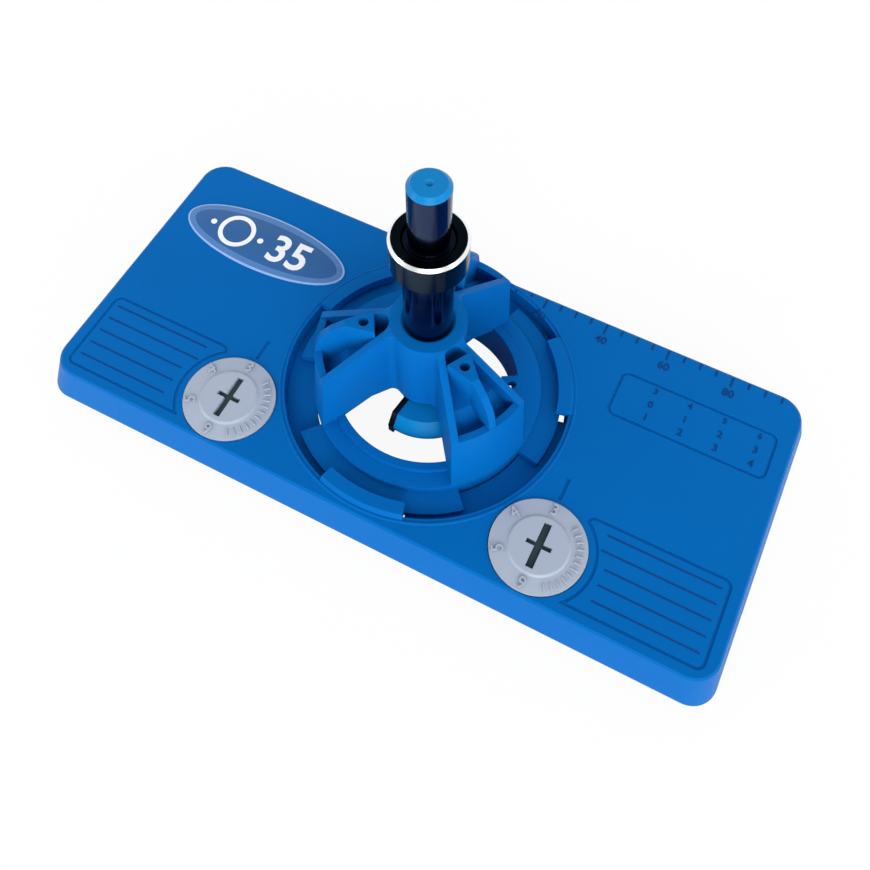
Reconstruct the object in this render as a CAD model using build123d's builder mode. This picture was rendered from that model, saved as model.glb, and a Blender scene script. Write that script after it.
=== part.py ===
"""Drilling jig for concealed cup hinges.

A ribbed plate carries a twist-lock drill guide with its 35 mm bit, and two setback dials with cams.

The guide axis is the Z axis. Z = 0 is the bench under the two setback cams, X runs along the plate
and -Y is the side of the door's edge. Millimetres.
"""

import math
import os

from build123d import *

os.makedirs("parts", exist_ok=True)

# Plate: a drafted shell, open below, with ribs
plate_length = 212.4
plate_width = 96.6
plate_forward = 1.0
plate_height = 11.3
wall_draft = 4.1
plate_corner_radius = 7.5
top_edge_chamfer = 0.5
plate_wall = 2.6
deck_thickness = 3.4
rib_thickness = 2.0
rib_pitch = 23.2
edge_relief = 0.5

# Round recess that takes the drill guide
recess_radius = 41.9
ledge_depth = 5.6
ledge_thickness = 2.8
guide_clearance = 0.3

# Three lips hold the guide down; each has its middle angle and half its span
lip_angles = (-90.0, 30.0, 150.0)
lip_half_span = 17.5
lip_inner_radius = 38.1
lip_rise = 1.6
lip_drop = 1.5
lip_flank = 1.3
lip_root = 1.2

# Drill guide ring, measured up from the plate's top face
window_radius = 26.2
rim_width = 2.3
rim_rise = 2.0
ring_rise = 0.3
spigot_radius = 33.2
spigot_lift = 0.3
lobe_radius = 39.6
lobe_half_span = 41.5
lobe_thickness = 2.4

# Guide tube
guide_shaft_radius = 6.25
running_clearance = 0.05
tube_radius = 10.0
tube_foot = 5.6
tube_top = 34.0
bore_lead = 0.7

# Three hollow legs: two side walls, an outer wall, a sunk web and a thumb fin in the middle of each
leg_angles = (90.0, 210.0, 330.0)
leg_half_span = 22.0
leg_wall = 2.0
leg_root_radius = 2.2
leg_foot_radius = 33.0
leg_top_radius = 30.2
leg_top = 22.4
wall_crest = 31.9
wall_crest_radius = 13.8
web_outer = 16.6
web_knee = 22.8
web_knee_radius = 21.5
web_inner = 25.2
web_thickness = 2.0
fin_width = 2.0
fin_head_width = 6.8
fin_head_radius = 13.7
fin_neck_radius = 21.0
fin_crest = ((21.0, 34.0), (25.2, 31.5), (27.7, 28.9), (29.0, 26.4))
fin_inset = 0.15
fin_hole_radius = 1.3
fin_hole_depth = 6.0
fin_hole_place = 16.4

# Pilot holes for the hinge's own screws, on tabs beside the legs
screw_spacing = 45.0
screw_offset = 9.5
pilot_radius = 1.25
tab_margin = 2.9
tab_thickness = 3.0

# Bit: heights measured up from the plate's top face
bit_radius = 17.5
body_relief = 0.2
head_under = -2.0
head_rim = -0.4
head_top = 4.0
head_bevel = 2.4
hub_radius = 8.0
wing_span = 108.0
wing_lead_angle = -98.0
shoulder_height = 65.3
shank_radius = 4.75
shank_end = 82.4
shank_chamfer = 1.0
dimple_radius = 1.0
blade_thickness = 1.7
blade_drop = 2.0
blade_inner_radius = 2.3
spur_width = 3.2
spur_depth = 1.7
spur_drop = 2.7
spur_angle = 62.0
point_radius = 2.0
point_socket = 3.0
point_drop = 4.4

# Stop collar and its set screw
collar_radius = 9.1
collar_height = 8.0
collar_bottom = 58.0
collar_chamfer = 0.7
set_screw_radius = 2.0
set_screw_angle = 140.0
hex_key = 2.0

# Setback dials, turned to the number at the index line: 3, 4, 5 or 6 mm from cup edge to door edge
cup_radius = 17.5
setbacks = (3.0, 4.0, 5.0, 6.0)
dial_step = 60.0
dial_spacing = 97.4
dial_setting_radius = 10.4
dial_radius = 13.4
dial_clearance = 0.2
dial_seat_depth = 2.4
dial_edge = 0.5
dial_rise = 1.0
dial_disc_radius = 8.75
dial_disc_rise = 1.5
dial_disc_slope = 0.7
slot_long = (13.4, 2.1)
slot_short = (7.2, 1.4)
slot_depth = 1.3
hub_shaft_radius = 6.0
key_size = 7.0
key_length = 2.2
dial_boss_wall = 3.0
washer_radius = 9.0
washer_thickness = 0.7
washer_gap = 0.05

# Snail cams under the plate
cam_projection = 5.0
cam_gap = 0.1
cam_to_relief = 1.0
cam_screw_radius = 2.0
cam_screw_grip = 7.0
cam_screw_head_radius = 3.7
cam_screw_head_depth = 1.7
cross_recess = (3.6, 0.9)
cross_recess_depth = 1.0

# Surface marks moulded into the plate
mark_depth = 0.4
outline_width = 0.8
index_length = 6.8
index_width = 0.9
index_start = 1.2
badge_width = 20.5
badge_side_margin = 4.7
badge_rear_margin = 12.0
badge_recess_margin = 3.6
badge_thickness = 0.5
panel_radius = 2.5
note_panel = (41.0, 26.0)
note_side_margin = 3.4
note_front_margin = 3.0
table_panel = (47.6, 15.4)
table_side_margin = 4.6
table_rear_margin = 13.1
dial_margin = 1.8

z_under = cam_projection
z_top = z_under + plate_height
z_deck = z_top - deck_thickness
z_ledge = z_top - ledge_depth
z_lobe = z_ledge + guide_clearance

dial_line = -(cup_radius + setbacks[0] + dial_setting_radius)
cam_reaches = [-dial_line - cup_radius - setback for setback in setbacks]
dial_centres = {"left": (-dial_spacing / 2, dial_line), "right": (dial_spacing / 2, dial_line)}
dial_seat_radius = dial_radius + dial_clearance
throat_radius = spigot_radius + guide_clearance
bore_radius = guide_shaft_radius + running_clearance
z_seat = z_top - dial_seat_depth
z_washer = z_seat + washer_gap
z_dial_under = z_washer + washer_thickness + washer_gap

top_side = plate_length / 2 - wall_draft
top_front = -plate_width / 2 + wall_draft - plate_forward
top_rear = plate_width / 2 - wall_draft - plate_forward
badge_line = top_rear - badge_rear_margin - badge_width / 2
badge_outer_end = badge_side_margin - top_side
badge_inner_end = -math.sqrt((recess_radius + badge_recess_margin) ** 2 - badge_line**2)
note_x = top_side - note_side_margin - note_panel[0] / 2
note_y = top_front + note_front_margin + note_panel[1] / 2
table_centre = (
    top_side - table_side_margin - table_panel[0] / 2,
    top_rear - table_rear_margin - table_panel[1] / 2,
)


def plate_section(height, inset):
    """Length, width and corner radius of the drafted plate at a height above its underside."""
    share = height / plate_height
    length = plate_length - 2 * (wall_draft * share + inset)
    width = plate_width - 2 * (wall_draft * share + inset)
    return length, width, plate_corner_radius - inset


def plate_plane(z):
    """Level plane in the middle of the plate, which lies a little in front of the guide axis."""
    return Plane(origin=(0, -plate_forward, z))


def radial_plane(angle):
    """Upright plane through the Z axis, with its X axis pointing out at the angle."""
    x_dir = (math.cos(math.radians(angle)), math.sin(math.radians(angle)), 0)
    z_dir = (math.sin(math.radians(angle)), -math.cos(math.radians(angle)), 0)
    return Plane(origin=(0, 0, 0), x_dir=x_dir, z_dir=z_dir)


def save(part, name):
    part.label = name
    export_step(part, f"parts/{name}.step")


# Hollow under the deck, with the bosses and ribs left standing in it
with BuildPart() as hollow:
    with BuildSketch(plate_plane(z_under)):
        RectangleRounded(*plate_section(0, plate_wall))
    with BuildSketch(plate_plane(z_deck)):
        RectangleRounded(*plate_section(z_deck - z_under, plate_wall))
    loft()
    with BuildSketch(Plane.XY.offset(z_under)):
        Circle(recess_radius + plate_wall)
        with Locations(*dial_centres.values()):
            Circle(dial_seat_radius + dial_boss_wall)
        with GridLocations(rib_pitch, 0, int(plate_length / rib_pitch), 1):
            Rectangle(rib_thickness, plate_width)
        with GridLocations(0, rib_pitch, 1, int(plate_width / rib_pitch) - 1):
            Rectangle(plate_length, rib_thickness)
    extrude(amount=z_deck - z_under, mode=Mode.SUBTRACT)

with BuildPart() as base_plate:
    with BuildSketch(plate_plane(z_under)):
        RectangleRounded(*plate_section(0, 0))
    with BuildSketch(plate_plane(z_top - top_edge_chamfer)):
        RectangleRounded(*plate_section(plate_height - top_edge_chamfer, 0))
    with BuildSketch(plate_plane(z_top)):
        RectangleRounded(*plate_section(plate_height, top_edge_chamfer))
    loft(ruled=True)
    add(hollow.part, mode=Mode.SUBTRACT)
    # Recess above its ledge, the hollow below the ledge and the throat through it
    with BuildSketch(Plane.XY.offset(z_ledge)):
        Circle(recess_radius)
    extrude(amount=ledge_depth, mode=Mode.SUBTRACT)
    with BuildSketch(Plane.XY.offset(z_under)):
        Circle(recess_radius)
    extrude(amount=z_ledge - ledge_thickness - z_under, mode=Mode.SUBTRACT)
    with BuildSketch(Plane.XY.offset(z_under)):
        Circle(throat_radius)
    extrude(amount=plate_height, mode=Mode.SUBTRACT)
    # Lips over the recess, each above its own mould opening in the ledge
    for lip_angle in lip_angles:
        with BuildSketch(radial_plane(lip_angle - lip_half_span)):
            with BuildLine():
                Polyline(
                    (lip_inner_radius, z_top - lip_drop),
                    (recess_radius + lip_root, z_top - lip_drop),
                    (recess_radius + lip_root, z_top),
                    (recess_radius + lip_root - lip_flank, z_top + lip_rise),
                    (lip_inner_radius, z_top + lip_rise),
                    close=True,
                )
            make_face()
        revolve(axis=Axis.Z, revolution_arc=2 * lip_half_span)
        with BuildSketch(radial_plane(lip_angle - lip_half_span)):
            with BuildLine():
                Polyline(
                    (lip_inner_radius - guide_clearance, z_ledge - ledge_thickness),
                    (recess_radius, z_ledge - ledge_thickness),
                    (recess_radius, z_ledge),
                    (lip_inner_radius - guide_clearance, z_ledge),
                    close=True,
                )
            make_face()
        revolve(axis=Axis.Z, revolution_arc=2 * lip_half_span, mode=Mode.SUBTRACT)
    # Dial seats and shaft holes
    with Locations(*[(x, y, z_top) for x, y in dial_centres.values()]):
        shaft_hole_radius = hub_shaft_radius + running_clearance
        CounterBoreHole(shaft_hole_radius, dial_seat_radius, dial_seat_depth, plate_height)
    # Underside set back along the door's edge, so that the plate bears behind the cams
    relief_rear = cam_to_relief - cup_radius - setbacks[0]
    relief_depth = plate_width / 2 + plate_forward + relief_rear
    with BuildSketch(Plane.XY.offset(z_under)):
        with Locations((0, relief_rear - relief_depth / 2)):
            Rectangle(plate_length, relief_depth)
    extrude(amount=edge_relief, mode=Mode.SUBTRACT)
    # Index line above each dial
    with BuildSketch(Plane.XY.offset(z_top)):
        index_middle = dial_line + dial_seat_radius + index_start + index_length / 2
        with Locations(*[(x, index_middle) for x, y in dial_centres.values()]):
            Rectangle(index_width, index_length)
    extrude(amount=-mark_depth, mode=Mode.SUBTRACT)
    # Outlines of the note panels at the front corners and of the table panel at the back
    for centre, size in (
        ((-note_x, note_y), note_panel),
        ((note_x, note_y), note_panel),
        (table_centre, table_panel),
    ):
        with BuildSketch(Plane.XY.offset(z_top)) as outline:
            with Locations(centre):
                RectangleRounded(*size, panel_radius)
            with Locations(*dial_centres.values()):
                Circle(dial_seat_radius + dial_margin, mode=Mode.SUBTRACT)
            offset(amount=-outline_width, mode=Mode.SUBTRACT)
        extrude(amount=-mark_depth, mode=Mode.SUBTRACT)
save(base_plate.part, "base_plate")

with BuildPart() as badge:
    with BuildSketch(Plane.XY.offset(z_top)):
        with Locations(((badge_outer_end + badge_inner_end) / 2, badge_line)):
            Ellipse((badge_inner_end - badge_outer_end) / 2, badge_width / 2)
    extrude(amount=badge_thickness)
save(badge.part, "badge")

# Tube and the legs' side walls: plan with rooted corners, cut to the slope of their crests and feet
with BuildPart() as leg_walls:
    wall_start = tube_radius / 2
    wall_length = leg_foot_radius + leg_wall - wall_start
    with BuildSketch(Plane.XY.offset(z_top)) as wall_plan:
        Circle(tube_radius)
        for side in (-1, 1):
            with PolarLocations(0, len(leg_angles), start_angle=leg_angles[0] + side * leg_half_span):
                with Locations((wall_start + wall_length / 2, -side * leg_wall / 2)):
                    Rectangle(wall_length, leg_wall)
        near_tube = lambda corner: abs(corner.center().length - tube_radius) < leg_wall / 4
        fillet(wall_plan.vertices().filter_by(near_tube), leg_root_radius)
    extrude(amount=tube_top)
    with BuildSketch(Plane.XZ):
        with BuildLine():
            Polyline(
                (0, z_top + tube_foot),
                (bit_radius, z_top + tube_foot),
                (window_radius, z_top + rim_rise / 2),
                (window_radius, z_top + ring_rise / 2),
                (leg_foot_radius, z_top + ring_rise / 2),
                (leg_top_radius, z_top + leg_top),
                (wall_crest_radius, z_top + wall_crest),
                (tube_radius, z_top + tube_top),
                (0, z_top + tube_top),
                close=True,
            )
        make_face()
    revolve(axis=Axis.Z, mode=Mode.INTERSECT)

# Thumb fins: a head as wide as the leg's hollow that narrows outwards, with a small hole in its flat top
fin_end = leg_top_radius - fin_inset
web_line = (
    (leg_top_radius - leg_wall, web_outer),
    (web_knee_radius, web_knee),
    (guide_shaft_radius + leg_wall, web_inner),
)
with BuildPart() as fins:
    with BuildSketch(Plane.XY.offset(z_top)):
        with PolarLocations(0, len(leg_angles), start_angle=leg_angles[0]):
            Polygon(
                (fin_head_radius, -fin_head_width / 2),
                (fin_neck_radius, -fin_width / 2),
                (leg_top_radius, -fin_width / 2),
                (leg_top_radius, fin_width / 2),
                (fin_neck_radius, fin_width / 2),
                (fin_head_radius, fin_head_width / 2),
                align=None,
            )
    extrude(amount=tube_top)
    with BuildSketch(Plane.XZ):
        with BuildLine():
            Polyline(
                (0, z_top + tube_top),
                *[(radius, z_top + height) for radius, height in fin_crest],
                (fin_end, z_top + leg_top),
                (fin_end, z_top + web_outer - web_thickness / 2),
                *[(radius, z_top + height - web_thickness / 2) for radius, height in web_line],
                (0, z_top + web_inner - web_thickness / 2),
                close=True,
            )
        make_face()
    revolve(axis=Axis.Z, mode=Mode.INTERSECT)
    with BuildSketch(Plane.XY.offset(z_top + tube_top)):
        with PolarLocations(fin_hole_place, len(leg_angles), start_angle=leg_angles[0]):
            Circle(fin_hole_radius)
    extrude(amount=-fin_hole_depth, mode=Mode.SUBTRACT)

with BuildPart() as drill_guide:
    # Ring with a raised inner rim and a spigot that turns in the plate's throat
    with BuildSketch(Plane.XZ):
        with BuildLine():
            Polyline(
                (window_radius, z_under + spigot_lift),
                (spigot_radius, z_under + spigot_lift),
                (spigot_radius, z_top + ring_rise),
                (window_radius + rim_width, z_top + ring_rise),
                (window_radius + rim_width, z_top + rim_rise),
                (window_radius, z_top + rim_rise),
                close=True,
            )
        make_face()
    revolve(axis=Axis.Z)
    # Lobes that turn under the lips
    for lip_angle in lip_angles:
        with BuildSketch(radial_plane(lip_angle - lobe_half_span)):
            with BuildLine():
                Polyline(
                    (spigot_radius - plate_wall / 2, z_lobe),
                    (lobe_radius, z_lobe),
                    (lobe_radius, z_lobe + lobe_thickness),
                    (spigot_radius - plate_wall / 2, z_lobe + lobe_thickness),
                    close=True,
                )
            make_face()
        revolve(axis=Axis.Z, revolution_arc=2 * lobe_half_span)
    add(leg_walls.part)
    # Outer wall and sunk web of each leg, in one section
    for leg_angle in leg_angles:
        with BuildSketch(radial_plane(leg_angle - leg_half_span)):
            with BuildLine():
                Polyline(
                    (leg_foot_radius, z_top + ring_rise / 2),
                    (leg_top_radius, z_top + leg_top),
                    (leg_top_radius - leg_wall, z_top + leg_top),
                    *[(radius, z_top + height) for radius, height in web_line],
                    *[(radius, z_top + height - web_thickness) for radius, height in reversed(web_line)],
                    (leg_foot_radius - leg_wall, z_top + ring_rise / 2),
                    close=True,
                )
            make_face()
        revolve(axis=Axis.Z, revolution_arc=2 * leg_half_span)
    add(fins.part)
    # Tabs with the pilot holes for the hinge screws, one beside each front leg
    pilot_reach = math.hypot(screw_spacing / 2, screw_offset)
    pilot_angle = math.degrees(math.atan2(screw_offset, screw_spacing / 2))
    tab_start = leg_angles[2] - 360 + leg_half_span - leg_wall
    tab_span = pilot_angle + math.degrees(tab_margin / pilot_reach) - tab_start
    for start in (tab_start, 180 - tab_start - tab_span):
        with BuildSketch(radial_plane(start)):
            with BuildLine():
                Polyline(
                    (pilot_reach - tab_margin, z_top + rim_rise - tab_thickness),
                    (window_radius + rim_width / 2, z_top + rim_rise - tab_thickness),
                    (window_radius + rim_width / 2, z_top + rim_rise),
                    (pilot_reach - tab_margin, z_top + rim_rise),
                    close=True,
                )
            make_face()
        revolve(axis=Axis.Z, revolution_arc=tab_span)
    with BuildSketch(Plane.XY.offset(z_top + rim_rise)):
        with Locations((-screw_spacing / 2, screw_offset), (screw_spacing / 2, screw_offset)):
            Circle(pilot_radius)
    extrude(amount=-plate_height / 2, mode=Mode.SUBTRACT)
    # Bore with a lead-in at its mouth
    with Locations((0, 0, z_top + tube_top)):
        CounterSinkHole(bore_radius, bore_radius + bore_lead, tube_top, 90)
save(drill_guide.part, "drill_guide")

# Cutting edges: carbide plates brazed to the leading face of each wing
blades = {}
for name, angle in (("front", wing_lead_angle), ("rear", wing_lead_angle + 180)):
    with BuildPart() as blade:
        with BuildSketch(radial_plane(angle)):
            with BuildLine():
                Polyline(
                    (blade_inner_radius, z_top + head_under - blade_drop),
                    (bit_radius, z_top + head_under - blade_drop),
                    (bit_radius, z_top + head_rim),
                    (bit_radius - head_bevel, z_top + head_top),
                    (hub_radius, z_top + head_top),
                    (hub_radius, z_top + head_under + blade_drop),
                    (blade_inner_radius, z_top + head_under + blade_drop),
                    close=True,
                )
            make_face()
        extrude(amount=blade_thickness)
    blades[name] = blade.part
    save(blade.part, f"cutting_edge_{name}")

with BuildPart() as bit_body:
    # Shank, shoulder, guided shaft and hub, turned as one
    with BuildSketch(Plane.XZ):
        with BuildLine():
            Polyline(
                (0, z_top + head_under),
                (hub_radius, z_top + head_under),
                (hub_radius, z_top + head_top),
                (guide_shaft_radius, z_top + head_top),
                (guide_shaft_radius, z_top + shoulder_height - shank_chamfer / 2),
                (guide_shaft_radius - shank_chamfer / 2, z_top + shoulder_height),
                (shank_radius, z_top + shoulder_height),
                (shank_radius, z_top + shank_end - shank_chamfer),
                (shank_radius - shank_chamfer, z_top + shank_end),
                (dimple_radius, z_top + shank_end),
                (0, z_top + shank_end - dimple_radius),
                close=True,
            )
        make_face()
    revolve(axis=Axis.Z)
    # Two bevelled wings, with chip gaps between them
    for lead in (wing_lead_angle, wing_lead_angle + 180):
        with BuildSketch(radial_plane(lead)):
            with BuildLine():
                Polyline(
                    (hub_radius / 2, z_top + head_under),
                    (bit_radius - body_relief, z_top + head_under),
                    (bit_radius - body_relief, z_top + head_rim),
                    (bit_radius - body_relief - head_bevel, z_top + head_top),
                    (hub_radius / 2, z_top + head_top),
                    close=True,
                )
            make_face()
        revolve(axis=Axis.Z, revolution_arc=wing_span)
    for blade_part in blades.values():
        add(blade_part, mode=Mode.SUBTRACT)
    # Socket of the centre point
    with BuildSketch(Plane.XY.offset(z_top + head_under)):
        Circle(point_radius + running_clearance)
    extrude(amount=point_socket + running_clearance, mode=Mode.SUBTRACT)
save(bit_body.part, "bit_body")

with BuildPart() as centre_point:
    with BuildSketch(Plane.XZ):
        with BuildLine():
            Polyline(
                (0, z_top + head_under + point_socket),
                (point_radius, z_top + head_under + point_socket),
                (point_radius, z_top + head_under - blade_drop / 2),
                (0, z_top + head_under - point_drop),
                close=True,
            )
        make_face()
    revolve(axis=Axis.Z)
save(centre_point.part, "centre_point")

# Spurs that score the rim of the cup, brazed under each wing
for name, lead in (("front", wing_lead_angle), ("rear", wing_lead_angle + 180)):
    with BuildPart() as spur:
        with BuildSketch(radial_plane(lead + spur_angle)):
            with BuildLine():
                Polyline(
                    (bit_radius - spur_depth, z_top + head_under),
                    (bit_radius - body_relief, z_top + head_under),
                    (bit_radius, z_top + head_under - spur_drop),
                    (bit_radius - body_relief, z_top + head_under - spur_drop),
                    close=True,
                )
            make_face()
        extrude(amount=spur_width / 2, both=True)
    save(spur.part, f"rim_spur_{name}")

with BuildPart() as set_screw_hole:
    set_screw_plane = Plane(
        origin=(0, 0, z_top + collar_bottom + collar_height / 2),
        x_dir=(0, 0, 1),
        z_dir=(math.cos(math.radians(set_screw_angle)), math.sin(math.radians(set_screw_angle)), 0),
    )
    with BuildSketch(set_screw_plane):
        Circle(set_screw_radius)
    extrude(amount=collar_radius + set_screw_radius)

with BuildPart() as stop_collar:
    with BuildSketch(Plane.XY.offset(z_top + collar_bottom)):
        Circle(collar_radius)
        Circle(guide_shaft_radius + running_clearance, mode=Mode.SUBTRACT)
    extrude(amount=collar_height)
    collar_crest = stop_collar.faces().sort_by(Axis.Z)[-1]
    chamfer(collar_crest.edges().sort_by(SortBy.RADIUS)[-1], length=collar_chamfer)
    add(set_screw_hole.part, mode=Mode.SUBTRACT)
save(stop_collar.part, "stop_collar")

with BuildPart() as collar_set_screw:
    screw_start = guide_shaft_radius + 2 * running_clearance
    screw_end = math.sqrt(collar_radius**2 - set_screw_radius**2) - running_clearance
    with BuildSketch(set_screw_plane.offset(screw_start)):
        Circle(set_screw_radius)
    extrude(amount=screw_end - screw_start)
    with BuildSketch(set_screw_plane.offset(screw_end)):
        RegularPolygon(hex_key / 2, 6, major_radius=False)
    extrude(amount=-(screw_end - screw_start) / 2, mode=Mode.SUBTRACT)
save(collar_set_screw.part, "collar_set_screw")

z_cam_top = z_under - cam_gap
for side, centre in dial_centres.items():
    at_dial = Plane(origin=(*centre, 0))
    through_dial = Plane(origin=(*centre, 0), x_dir=(1, 0, 0), z_dir=(0, -1, 0))
    dial_axis = Axis((*centre, 0), (0, 0, 1))

    # Dial with its shaft and the square key that turns the cam
    with BuildPart() as dial:
        with BuildSketch(through_dial):
            with BuildLine():
                Polyline(
                    (0, z_cam_top),
                    (hub_shaft_radius, z_cam_top),
                    (hub_shaft_radius, z_dial_under),
                    (dial_radius, z_dial_under),
                    (dial_radius, z_top + dial_edge),
                    (dial_disc_radius, z_top + dial_rise),
                    (dial_disc_radius - dial_disc_slope, z_top + dial_disc_rise),
                    (0, z_top + dial_disc_rise),
                    close=True,
                )
            make_face()
        revolve(axis=dial_axis)
        with BuildSketch(at_dial.offset(z_cam_top - key_length)):
            Rectangle(key_size, key_size)
        extrude(amount=key_length)
        with BuildSketch(at_dial.offset(z_top + dial_disc_rise)):
            Rectangle(slot_long[1], slot_long[0])
            Rectangle(slot_short[0], slot_short[1])
        extrude(amount=-slot_depth, mode=Mode.SUBTRACT)
        with BuildSketch(at_dial.offset(z_cam_top - key_length)):
            Circle(cam_screw_radius)
        extrude(amount=cam_screw_grip, mode=Mode.SUBTRACT)
    save(dial.part, f"setback_dial_{side}")

    with BuildPart() as washer:
        with BuildSketch(at_dial.offset(z_washer)):
            Circle(washer_radius)
            Circle(hub_shaft_radius + dial_clearance, mode=Mode.SUBTRACT)
        extrude(amount=washer_thickness)
    save(washer.part, f"spring_washer_{side}")

    # Snail cam: one arc for each setback, facing the same way as its number on the dial
    with BuildPart() as cam:
        with BuildSketch(at_dial):
            Circle(cam_reaches[-1])
            for step, reach in enumerate(cam_reaches):
                middle = 90 + step * dial_step
                with BuildLine():
                    arc = CenterArc((0, 0), reach, middle - dial_step / 2, dial_step)
                    Line((0, 0), arc @ 0)
                    Line((0, 0), arc @ 1)
                make_face()
        extrude(amount=z_cam_top)
        with BuildSketch(at_dial.offset(z_cam_top)):
            Rectangle(key_size, key_size)
        extrude(amount=-key_length, mode=Mode.SUBTRACT)
        with BuildSketch(through_dial):
            with BuildLine():
                Polyline(
                    (0, 0),
                    (cam_screw_head_radius, 0),
                    (cam_screw_radius, cam_screw_head_depth),
                    (cam_screw_radius, z_cam_top),
                    (0, z_cam_top),
                    close=True,
                )
            make_face()
        revolve(axis=dial_axis, mode=Mode.SUBTRACT)
    save(cam.part, f"setback_cam_{side}")

    with BuildPart() as cam_screw:
        with BuildSketch(through_dial):
            with BuildLine():
                Polyline(
                    (0, 0),
                    (cam_screw_head_radius, 0),
                    (cam_screw_radius, cam_screw_head_depth),
                    (cam_screw_radius, z_cam_top - key_length + cam_screw_grip - cam_screw_radius / 2),
                    (0, z_cam_top - key_length + cam_screw_grip - cam_screw_radius / 2),
                    close=True,
                )
            make_face()
        revolve(axis=dial_axis)
        with BuildSketch(at_dial):
            Rectangle(*cross_recess)
            Rectangle(*reversed(cross_recess))
        extrude(amount=cross_recess_depth, mode=Mode.SUBTRACT)
    save(cam_screw.part, f"cam_screw_{side}")
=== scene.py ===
"""Looks of a drilling jig for concealed cup hinges: finishes, marks, badge, light and camera."""

import logging
import math
from dataclasses import dataclass, field
from enum import Enum

import bmesh
import bpy
import numpy as np
from mathutils import Euler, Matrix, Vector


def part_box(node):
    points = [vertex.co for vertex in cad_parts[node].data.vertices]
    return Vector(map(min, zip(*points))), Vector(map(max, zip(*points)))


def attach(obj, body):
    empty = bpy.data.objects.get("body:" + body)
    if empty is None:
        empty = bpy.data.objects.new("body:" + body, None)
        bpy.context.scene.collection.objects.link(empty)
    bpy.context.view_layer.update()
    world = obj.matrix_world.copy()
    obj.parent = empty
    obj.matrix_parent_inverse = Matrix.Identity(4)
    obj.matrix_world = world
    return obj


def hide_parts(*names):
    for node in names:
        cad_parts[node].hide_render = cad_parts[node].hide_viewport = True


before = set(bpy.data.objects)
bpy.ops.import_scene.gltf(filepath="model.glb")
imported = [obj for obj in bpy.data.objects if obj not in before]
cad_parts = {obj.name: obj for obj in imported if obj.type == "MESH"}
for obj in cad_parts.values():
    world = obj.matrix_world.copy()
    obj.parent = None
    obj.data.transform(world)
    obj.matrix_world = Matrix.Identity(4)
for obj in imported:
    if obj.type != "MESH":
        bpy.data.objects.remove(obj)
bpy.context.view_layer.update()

log = logging.getLogger("hinge_jig")

Colour = tuple[float, float, float, float]
Place = tuple[float, float]
Surface = tuple[np.ndarray, list[list[int]]]

MM = 0.001

# Heights in millimetres: the lips stand up from the plate's top, and so does the bit's head
LIP_RISE = 1.6
HEAD_RISE = 4.0
PLATE_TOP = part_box("base_plate")[1].z / MM - LIP_RISE
SHANK_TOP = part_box("bit_body")[1].z / MM
HEAD_TOP = PLATE_TOP + HEAD_RISE

# New meshes: points nearer than the gap, in metres, become one, and edges over the angle, in degrees, stay
# sharp. The steps are those of a slab's softened edge and of a bar's round end
WELD_GAP = 1e-7
SHARP_ANGLE = 35.0
EDGE_STEPS = 4
END_STEPS = 8

# Numerals: their height as a share of the type size, and how much bolder they are drawn, as a share of it
NUMERAL_SHARE = 0.73
NUMERAL_WEIGHT = 0.025

# Nearly all of a noise lies between these values
NOISE_LOW, NOISE_HIGH = 0.3, 0.7

# Waves of the wave texture are this far apart at a scale of 1
WAVE_LENGTH = math.pi / 10

# Rays that look for the rounded edge of a solid
EDGE_RAYS = 6


class Slot(Enum):
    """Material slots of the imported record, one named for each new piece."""

    BLUE_PLASTIC = "blue_plastic"
    PALE_PLASTIC = "pale_plastic"
    BADGE_FILM = "badge_film"
    BLACK_STEEL = "black_steel"


class Body(Enum):
    """Bodies that new pieces ride on."""

    PLATE = "plate"
    BIT = "bit"
    DIAL_LEFT = "dial_left"
    DIAL_RIGHT = "dial_right"


class Side(Enum):
    """Sides of the plate that carry a dial."""

    LEFT = "left"
    RIGHT = "right"


def linear(hex_colour: str) -> Colour:
    """Turns an sRGB hex colour into linear light.

    Args:
        hex_colour: Colour written as "#RRGGBB".

    Returns:
        Linear red, green and blue, and an alpha of 1.
    """
    shares = [int(hex_colour[start : start + 2], 16) / 255 for start in (1, 3, 5)]
    lit = [share / 12.92 if share <= 0.04045 else ((share + 0.055) / 1.055) ** 2.4 for share in shares]
    return (lit[0], lit[1], lit[2], 1.0)


def add_node(
    tree: bpy.types.NodeTree,
    kind: str,
    settings: dict | None = None,
    links: dict | None = None,
) -> bpy.types.Node:
    """Adds one node to a tree, sets it and links it.

    Args:
        tree: Node tree that gets the node.
        kind: Blender's name for the node's type.
        settings: Values by input name, input number or attribute name.
        links: Output sockets by the name or number of the input that each one feeds.

    Returns:
        The new node.
    """
    node = tree.nodes.new(kind)
    for key, value in (settings or {}).items():
        if isinstance(key, int) or key in node.inputs:
            node.inputs[key].default_value = value
        else:
            setattr(node, key, value)
    for key, source in (links or {}).items():
        tree.links.new(source, node.inputs[key])
    return node


def new_shader(
    name: str,
) -> tuple[bpy.types.Material, bpy.types.NodeTree, bpy.types.Node, bpy.types.NodeSocket]:
    """Makes a material with its shader and its Object coordinates.

    Args:
        name: The material's name.

    Returns:
        The material, its node tree, its Principled shader and the Object coordinate socket.
    """
    material = bpy.data.materials.new(name)
    material.use_nodes = True
    tree = material.node_tree
    place = add_node(tree, "ShaderNodeTexCoord").outputs["Object"]
    return material, tree, tree.nodes["Principled BSDF"], place


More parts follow.
